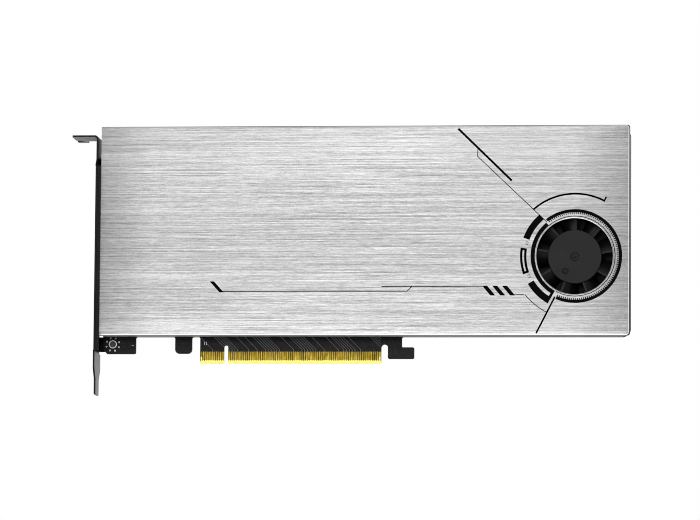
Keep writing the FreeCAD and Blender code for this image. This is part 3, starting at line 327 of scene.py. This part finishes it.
def gold_finish():
    """Plated contacts: an olive gold, shaded darker towards the top, with a brighter band at the lower ends.
    """
    finish = Finish("contact_gold", metallic=1.0)
    wear = finish.noise((1500, 1500, 220), 3.0)
    upper = finish.ramp(wear, [(0.3, (0.17, 0.110, 0.007)), (0.7, (0.34, 0.245, 0.030))])
    z = finish.split()["Z"]
    shade = finish.spread(z, 1.14, 0.84, CONTACTS_LOW[2] + 0.5 * MM, CONTACTS_HIGH[2])
    upper = finish.mix(1.0, upper, shade, "MULTIPLY")
    bright_lower_edge = finish.spread(z, 1, 0, CONTACTS_LOW[2], CONTACTS_LOW[2] + 0.45 * MM)
    finish.colour(finish.mix(bright_lower_edge, upper, (0.80, 0.66, 0.12)))
    finish.roughness(finish.spread(wear, 0.42, 0.28))
    finish.relief(wear, 0.00001)
    return finish


def bracket_finish():
    """Black paint, with a painted grey sheen where the card-side face of the tongue and the underside of the
    tab catch light at a grazing angle.
    """
    finish = Finish("black_paint", specular=0.10)
    grain = finish.noise((2000, 2000, 2000), 3.0)
    patches = finish.noise((140, 140, 140), 2.0)
    both = finish.maths("MULTIPLY", finish.maths("ADD", grain, patches), 0.5)
    paint = finish.ramp(both, [(0.35, 0.0016), (0.65, 0.0036)])
    painted_sheen = finish.ramp(both, [(0.35, 0.18), (0.65, 0.29)])
    x, y, z = finish.split()
    # painted sheen: the grey stands for light that the black paint reflects at a grazing angle, on the
    # tongue's card-side face and under the tab
    tongue = finish.maths("MULTIPLY", finish.maths("GREATER_THAN", x, BRACKET_INNER - 0.03 * MM),
                          finish.maths("LESS_THAN", z, BOARD_LOW[2] + 4.6 * MM))
    under_tab = finish.maths("MULTIPLY", finish.maths("LESS_THAN", x, BRACKET_INNER - 1.7 * MM),
                             finish.maths("LESS_THAN", z, BRACKET_HIGH[2] - 0.8 * MM))
    finish.colour(finish.mix(finish.maths("MAXIMUM", tongue, under_tab), paint, painted_sheen))
    finish.roughness(finish.spread(both, 0.28, 0.40, 0.35, 0.65))
    finish.relief(grain, 0.00001)
    return finish


INK = plain("black_ink", 0.0006, 0.0014, 0.0004, (0.55, 0.65), specular=0.03, depth=0.000004)
SILK = plain("silk_print", 0.42, 0.55, 0.0003, (0.55, 0.65), depth=0.000004)
VIA_METAL = plain("plated_hole", (0.30, 0.30, 0.29), (0.42, 0.41, 0.39), 0.0004, (0.30, 0.42), 1.0)
FINISHES = {
    "circuit_board": circuit_board_finish(),
    "edge_contacts": gold_finish(),
    "bracket": bracket_finish(),
    "bracket_screws": plain("black_zinc", 0.004, 0.010, 0.0004, (0.30, 0.42), specular=0.4),
    "bracket_nuts": plain("tinned_nut", 0.33, 0.48, 0.0006, (0.28, 0.40), 1.0),
    "cover_plate": brushed_plate(),
    "heatsink": plain("cast_aluminium", 0.34, 0.45, 0.0007, (0.52, 0.64), 1.0, depth=0.00003),
    "drive_standoffs": plain("standoff_brass", (0.52, 0.38, 0.16), (0.66, 0.50, 0.24), 0.0006,
                             (0.26, 0.36), 1.0),
    "fan_rotor": plain("rotor_plastic", 0.0036, 0.0056, 0.0006, (0.30, 0.40), specular=0.16, depth=0.000008),
    "fan_frame": plain("frame_plastic", 0.002, 0.004, 0.0006, (0.40, 0.52), specular=0.12),
    "fan_bearing": plain("sintered_bronze", (0.26, 0.15, 0.07), (0.38, 0.24, 0.12), 0.0002,
                         (0.40, 0.55), 1.0),
    "fan_shaft": plain("ground_steel", 0.42, 0.52, 0.0004, (0.20, 0.28), 1.0),
    "rotor_yoke": plain("zinc_steel", 0.34, 0.44, 0.0006, (0.30, 0.42), 1.0),
    "rotor_magnet": plain("ferrite", 0.020, 0.034, 0.0003, (0.55, 0.70)),
    "stator_core": plain("core_steel", 0.18, 0.28, 0.0003, (0.35, 0.48), 1.0),
    "stator_coils": plain("coil_wire", (0.36, 0.12, 0.05), (0.52, 0.20, 0.08), 0.00025, (0.25, 0.35), 0.8),
    "fan_board": plain("fan_board_mask", (0.010, 0.055, 0.030), (0.015, 0.080, 0.042), 0.0006, (0.32, 0.44)),
    "fan_lead": plain("lead_insulation", 0.010, 0.016, 0.0004, (0.45, 0.55)),
    "fan_header": plain("header_plastic", 0.010, 0.016, 0.0004, (0.45, 0.58)),
    "fan_plug": plain("plug_plastic", (0.52, 0.50, 0.44), (0.62, 0.60, 0.53), 0.0005, (0.40, 0.52)),
    "inductors": plain("choke_powder", 0.050, 0.075, 0.0003, (0.55, 0.70), depth=0.00004),
    "power_switches": plain("chip_epoxy", 0.014, 0.022, 0.0003, (0.50, 0.62)),
    "clock_buffer": plain("buffer_epoxy", 0.014, 0.022, 0.0003, (0.50, 0.62)),
    "capacitors": plain("capacitor_body", (0.46, 0.26, 0.05), (0.58, 0.35, 0.08), 0.0005, (0.38, 0.50)),
    "status_lights": plain("light_lens", (0.66, 0.68, 0.60), (0.78, 0.80, 0.72), 0.0003, (0.18, 0.26)),
}
SCREW_STEEL = plain("screw_steel", 0.30, 0.42, 0.0005, (0.28, 0.38), 1.0)
SOCKET_PLASTIC = plain("socket_plastic", 0.012, 0.020, 0.0004, (0.42, 0.55))
TAIL_METAL = plain("tinned_copper", 0.48, 0.60, 0.0003, (0.25, 0.35), 1.0)
PAD_SILICONE = plain("pad_silicone", (0.16, 0.19, 0.24), (0.21, 0.25, 0.31), 0.0006, (0.65, 0.80),
                     depth=0.00005)
FAMILIES = (("_screws", SCREW_STEEL), ("drive_socket_", SOCKET_PLASTIC),
            ("socket_contacts_", TAIL_METAL), ("thermal_pad_", PAD_SILICONE))


def finish_of(node):
    """The finish of a CAD node, by its own name or by its family's."""
    if node in FINISHES:
        return FINISHES[node]
    return next(finish for part, finish in FAMILIES if part in node)


def dress_frame():
    """Give every CAD node its finish."""
    for name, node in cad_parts.items():
        node.data.materials.clear()
        node.data.materials.append(finish_of(name).material)


# ---------------------------------------------------------------- printed line work
PRINT_THICKNESS = 0.03 * MM
PRINT_SEGMENT = math.radians(1.5)
PRINT_SHIFT = 0.17              # millimetres from the fan's axis to the middle of the printed rings
THIN_LINE = 0.36
THICK_LINE = 1.0


def flat_piece(name, outlines, finish, front, body="card"):
    """Thin print in the XZ plane: each outline is a strip of (inner, outer) point pairs."""
    vertices, faces = [], []
    back = front + PRINT_THICKNESS
    for pairs in outlines:
        base = len(vertices)
        for inner, outer in pairs:
            vertices += [(inner[0], front, inner[1]), (outer[0], front, outer[1]),
                         (inner[0], back, inner[1]), (outer[0], back, outer[1])]
        for i in range(len(pairs) - 1):
            a, b = base + 4 * i, base + 4 * i + 4
            faces += [(a, b, b + 1, a + 1), (a + 2, a + 3, b + 3, b + 2),
                      (a, a + 2, b + 2, b), (a + 1, b + 1, b + 3, a + 3)]
        last = base + 4 * (len(pairs) - 1)
        faces += [(base, base + 1, base + 3, base + 2), (last, last + 2, last + 3, last + 1)]
    mesh = bpy.data.meshes.new(name)
    mesh.from_pydata(vertices, [], faces)
    mesh.validate()
    mesh.materials.append(finish.material)
    piece = bpy.data.objects.new(name, mesh)
    bpy.context.scene.collection.objects.link(piece)
    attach(piece, body)


def from_fan(x_mm, z_mm):
    """A point of the cover plate, given from the middle of the printed rings in millimetres."""
    return (FAN_X + (x_mm + PRINT_SHIFT) * MM, FAN_Z + z_mm * MM)


def polar(radius, angle):
    """A point of the cover plate, by its distance and direction from the same middle."""
    return from_fan(radius * math.cos(angle), radius * math.sin(angle))


def arc(inner, outer, start, end):
    """Band between two radii, from start to end degrees."""
    first, last = math.radians(start), math.radians(end)
    steps = max(1, math.ceil(abs(last - first) / PRINT_SEGMENT))
    angles = [first + (last - first) * i / steps for i in range(steps + 1)]
    return [(polar(inner, a), polar(outer, a)) for a in angles]


def stroke(points, width):
    """Line of constant width through points, with mitred corners; millimetres from the fan."""
    pairs = []
    for i, (x, z) in enumerate(points):
        here = Vector((x, z))
        ahead = Vector(points[min(i + 1, len(points) - 1)]) - here
        behind = here - Vector(points[max(i - 1, 0)])
        directions = [v.normalized() for v in (behind, ahead) if v.length > 0]
        along = sum(directions, Vector((0, 0))).normalized()
        across = Vector((-along.y, along.x))
        reach = width / 2 / max(0.3, abs(directions[0].dot(along)))
        pairs.append((from_fan(*(here - across * reach)), from_fan(*(here + across * reach))))
    return pairs


def ticks(inner, outer, start, end, pitch, width):
    """Short radial marks, pitch and width in degrees."""
    count = int((end - start) / pitch)
    return [arc(inner, outer, start + i * pitch, start + i * pitch + width) for i in range(count)]


def slash(left, right, top, bottom, lean):
    """Leaning bar between two heights."""
    return [(from_fan(left, top), from_fan(right, top)),
            (from_fan(left + lean, bottom), from_fan(right + lean, bottom))]


def outlined_arc(inner, outer, start, end, line):
    """An arc drawn as its outline only."""
    turn = math.degrees(line / outer)
    return [arc(inner, inner + line, start, end), arc(outer - line, outer, start, end),
            arc(inner, outer, start, start + turn), arc(inner, outer, end - turn, end)]


RADIAL_PRINT = {                # radii in millimetres, directions in degrees
    "print_ring": [arc(20.2, 21.65, -114.2, 128)],
    "print_ring_ticks": ticks(19.4, 20.3, -114, 129, 2.69, 1.35),
    "print_hairline": [arc(18.25, 18.6, -118, 131)],
    "print_inner_arc": [arc(18.4, 20.35, 130.4, 240.4)],
    "print_blocks": [arc(22.15, 25.15, 130.2, 160.3), arc(21.95, 25.1, 210.7, 240.4),
                     arc(20.0, 22.2, 237, 240.4)],
    "print_open_block": outlined_arc(22.25, 25.2, 171, 199.6, 1.1),
    "print_block_ticks": ticks(22.2, 23.5, 163, 171, 2.8, 0.7) + ticks(22.2, 23.5, 202, 209, 2.8, 0.7),
    "print_outer_arc": [arc(28.35, 29.2, 61.5, 132), arc(28.35, 30.9, 61.5, 62.9)],
    "print_lower_arc": [arc(28.7, 29.05, 218, 244)],
}
STRAIGHT_PRINT = {              # points in millimetres from the rings' middle
    "print_diagonal": [stroke([(-53.9, 59.1), (-29.1, 34.9)], THICK_LINE)],
    "print_diagonal_thin": [stroke([(-44.8, 49.6), (-44.9, 46.2), (-12.8, 15.6)], THIN_LINE)],
    "print_leg": [stroke([(-9.1, -18.7), (-17.7, -35.6)], 0.8)],
    "print_lower_line": [stroke([(-28.3, -17.8), (-23.1, -17.8)], THIN_LINE)],
    "print_bars": [slash(left, left + 2.3, -13.7, -18.1, 3.7) for left in (-42.5, -37.9, -33.4)],
    "print_long_lines": [stroke([(-88.9, -13.9), (-41.9, -13.9)], THIN_LINE),
                         stroke([(-74.9, -13.9), (-77.1, -16.1), (-162.4, -16.1)], THIN_LINE)],
    "print_slash": [slash(-168.5, -166.5, -11.5, -16.5, 4.5)],
}


def printed_lines():
    """The black line work on the cover plate."""
    front = COVER_LOW[1] - PRINT_THICKNESS
    for name, outlines in (RADIAL_PRINT | STRAIGHT_PRINT).items():
        flat_piece(name, outlines, INK, front)


# ---------------------------------------------------------------- small marks on the board
MARK_LINE = 0.28 * MM
MARK_HEIGHT = 1.5 * MM
DASH_LENGTH = 0.9 * MM
VIA_COUNT, VIA_SIDES, VIA_PHASE = 8, 16, 20
VIA_CIRCLE, VIA_RADIUS, VIA_HOLE = 3.1 * MM, 0.42 * MM, 0.08 * MM


def upright_bar(left, low, width, height):
    """A rectangle in the XZ plane."""
    return [((left, low), (left + width, low)), ((left, low + height), (left + width, low + height))]


def board_marks():
    """Small plain strokes, beside the first contacts and on the ear."""
    front = BOARD_LOW[1] - PRINT_THICKNESS
    left, low = CONTACTS_LOW[0] + 1.6 * MM, CONTACTS_HIGH[2] + 3.1 * MM
    ear_x, ear_z = NUTS_HIGH[0] + 7.0 * MM, CONTACTS_HIGH[2] + 2.7 * MM
    bars = [upright_bar(left + step * MARK_LINE, low, MARK_LINE, MARK_HEIGHT) for step in (0, 3)]
    dash = [((ear_x, ear_z), (ear_x, ear_z + MARK_LINE)),
            ((ear_x + DASH_LENGTH, ear_z), (ear_x + DASH_LENGTH, ear_z + MARK_LINE))]
    flat_piece("board_marks", [*bars, dash], SILK, front)


def ear_vias():
    """Small plated holes in the board's ear, in a ring around the bracket's lower screw."""
    centre_x = (NUTS_LOW[0] + NUTS_HIGH[0]) / 2
    centre_z = NUTS_LOW[2] + (NUTS_HIGH[0] - NUTS_LOW[0]) / 2
    front = BOARD_LOW[1] - PRINT_THICKNESS
    sides = [2 * math.pi * j / VIA_SIDES for j in range(VIA_SIDES + 1)]
    rings = []
    for i in range(VIA_COUNT):
        turn = math.radians(VIA_PHASE + i * 360 / VIA_COUNT)
        x, z = centre_x + VIA_CIRCLE * math.cos(turn), centre_z + VIA_CIRCLE * math.sin(turn)
        rings.append([((x + VIA_HOLE * math.cos(a), z + VIA_HOLE * math.sin(a)),
                       (x + VIA_RADIUS * math.cos(a), z + VIA_RADIUS * math.sin(a))) for a in sides])
    flat_piece("ear_plated_holes", rings, VIA_METAL, front)


# ---------------------------------------------------------------- light, floor and camera
IMAGE_WIDTH = 700
CAMERA_PLACE = (260.0 * MM, -2200 * MM, -182.5 * MM)
CAMERA_YAW = math.radians(5.266)
CAMERA_PITCH = math.radians(5.964)
CAMERA_ROLL = math.radians(0.452)
FOCAL_PIXELS = 4792.8
SENSOR_WIDTH = 36.0             # millimetres
FLOOR_BELOW = 0.19              # from the bracket's tongue down to the floor
FLOOR_REACH = 15.0
FLOOR_LIFT = 0.35               # glow of the floor in the picture alone; it lights nothing
WORLD_LIGHT = 0.45              # strength of the world as a light
REFLECTED_WORLD = 0.62          # and in reflections
CAMERA_FILTER = 1.0             # width in pixels


def lamp(name, place, target, size, power):
    """A rectangular lamp that faces the target."""
    light = bpy.data.lights.new(name, "AREA")
    light.shape = "RECTANGLE"
    light.size, light.size_y = size
    light.energy = power
    lamp_object = bpy.data.objects.new(name, light)
    lamp_object.location = place
    lamp_object.rotation_euler = (Vector(target) - Vector(place)).to_track_quat("-Z", "Y").to_euler()
    bpy.context.scene.collection.objects.link(lamp_object)
    return lamp_object


def pale_background():
    """White where the camera looks past the part, and softer levels for reflections and for light."""
    world = bpy.data.worlds.new("studio")
    bpy.context.scene.world = world
    world.use_nodes = True
    tree = world.node_tree
    background = tree.nodes["Background"]
    background.inputs["Color"].default_value = (1, 1, 1, 1)
    path = tree.nodes.new("ShaderNodeLightPath")

    def step(first, second, third=None, operation="MULTIPLY_ADD"):
        node = tree.nodes.new("ShaderNodeMath")
        node.operation = operation
        for socket, value in zip(node.inputs, (first, second, third)):
            if isinstance(value, float):
                socket.default_value = value
            elif value is not None:
                tree.links.new(value, socket)
        return node.outputs["Value"]

    seen = step(path.outputs["Is Camera Ray"], path.outputs["Is Transmission Ray"], operation="MAXIMUM")
    level = step(path.outputs["Is Glossy Ray"], REFLECTED_WORLD - WORLD_LIGHT, WORLD_LIGHT)
    level = step(seen, 1.0 - WORLD_LIGHT, level)
    tree.links.new(level, background.inputs["Strength"])


def floor():
    """A plain pale floor under the card."""
    middle = (BOARD_LOW[0] + BOARD_HIGH[0]) / 2
    ground = BRACKET_LOW[2] - FLOOR_BELOW
    corners = [(middle + x * FLOOR_REACH, y * FLOOR_REACH, ground)
               for x, y in ((-1, -1), (1, -1), (1, 1), (-1, 1))]
    mesh = bpy.data.meshes.new("floor")
    mesh.from_pydata(corners, [], [(0, 1, 2, 3)])
    paint = plain("floor_paint", 0.80, 0.84, 0.02, (0.7, 0.8), specular=0.2)
    paint.shader.inputs["Emission Color"].default_value = (1, 1, 1, 1)
    seen = paint.node("ShaderNodeLightPath").outputs["Is Camera Ray"]
    paint.link(paint.maths("MULTIPLY", seen, FLOOR_LIFT), paint.shader.inputs["Emission Strength"])
    mesh.materials.append(paint.material)
    piece = bpy.data.objects.new("floor", mesh)
    bpy.context.scene.collection.objects.link(piece)


def lights():
    """Soft lamps around the card; places in metres, sizes in metres, power in watts."""
    x = (BOARD_LOW[0] + BOARD_HIGH[0]) / 2
    middle = (x, COVER_LOW[1], (BOARD_LOW[2] + BOARD_HIGH[2]) / 2)
    lamp("key_lamp", (x + 0.05, -1.3, 0.75), middle, (0.9, 0.5), 7)
    lamp("front_panel", (x - 0.11, -1.16, 0.16), (x, 0, 0.06), (0.42, 0.22), 1.3)
    lamp("edge_lamp", (x + 1.2, -0.12, 0.2), middle, (0.5, 0.5), 0.5)
    under = lamp("under_lamp", (x, -0.05, BRACKET_LOW[2] - 0.7 * FLOOR_BELOW), middle, (0.34, 0.08), 0.14)
    under.visible_camera = False
    lamp("side_lamp", (x - 1.1, -0.7, 0.5), middle, (0.5, 0.8), 5)
    lamp("back_lamp", (x + 0.6, 1.1, 0.9), middle, (1.2, 1.2), 5)


def camera():
    """The photograph's view: from the right and from below, with the tilt of its horizon."""
    cos, sin = math.cos, math.sin
    yaw, pitch, roll = CAMERA_YAW, CAMERA_PITCH, CAMERA_ROLL
    ahead = Vector((-sin(yaw) * cos(pitch), cos(yaw) * cos(pitch), sin(pitch)))
    level = Vector((cos(yaw), sin(yaw), 0))
    upright = level.cross(ahead)
    right = level * cos(roll) + upright * sin(roll)
    up = upright * cos(roll) - level * sin(roll)
    data = bpy.data.cameras.new("camera")
    data.sensor_width = SENSOR_WIDTH
    data.lens = FOCAL_PIXELS * SENSOR_WIDTH / IMAGE_WIDTH
    data.clip_start, data.clip_end = 0.01, 20
    view = bpy.data.objects.new("camera", data)
    rotation = Matrix((right, up, -ahead)).transposed()
    view.matrix_world = Matrix.Translation(CAMERA_PLACE) @ rotation.to_4x4()
    bpy.context.scene.collection.objects.link(view)
    bpy.context.scene.camera = view


dress_frame()
printed_lines()
board_marks()
ear_vias()
pale_background()
floor()
lights()
camera()
bpy.context.scene.view_settings.view_transform = "Standard"
bpy.context.scene.cycles.filter_width = CAMERA_FILTER
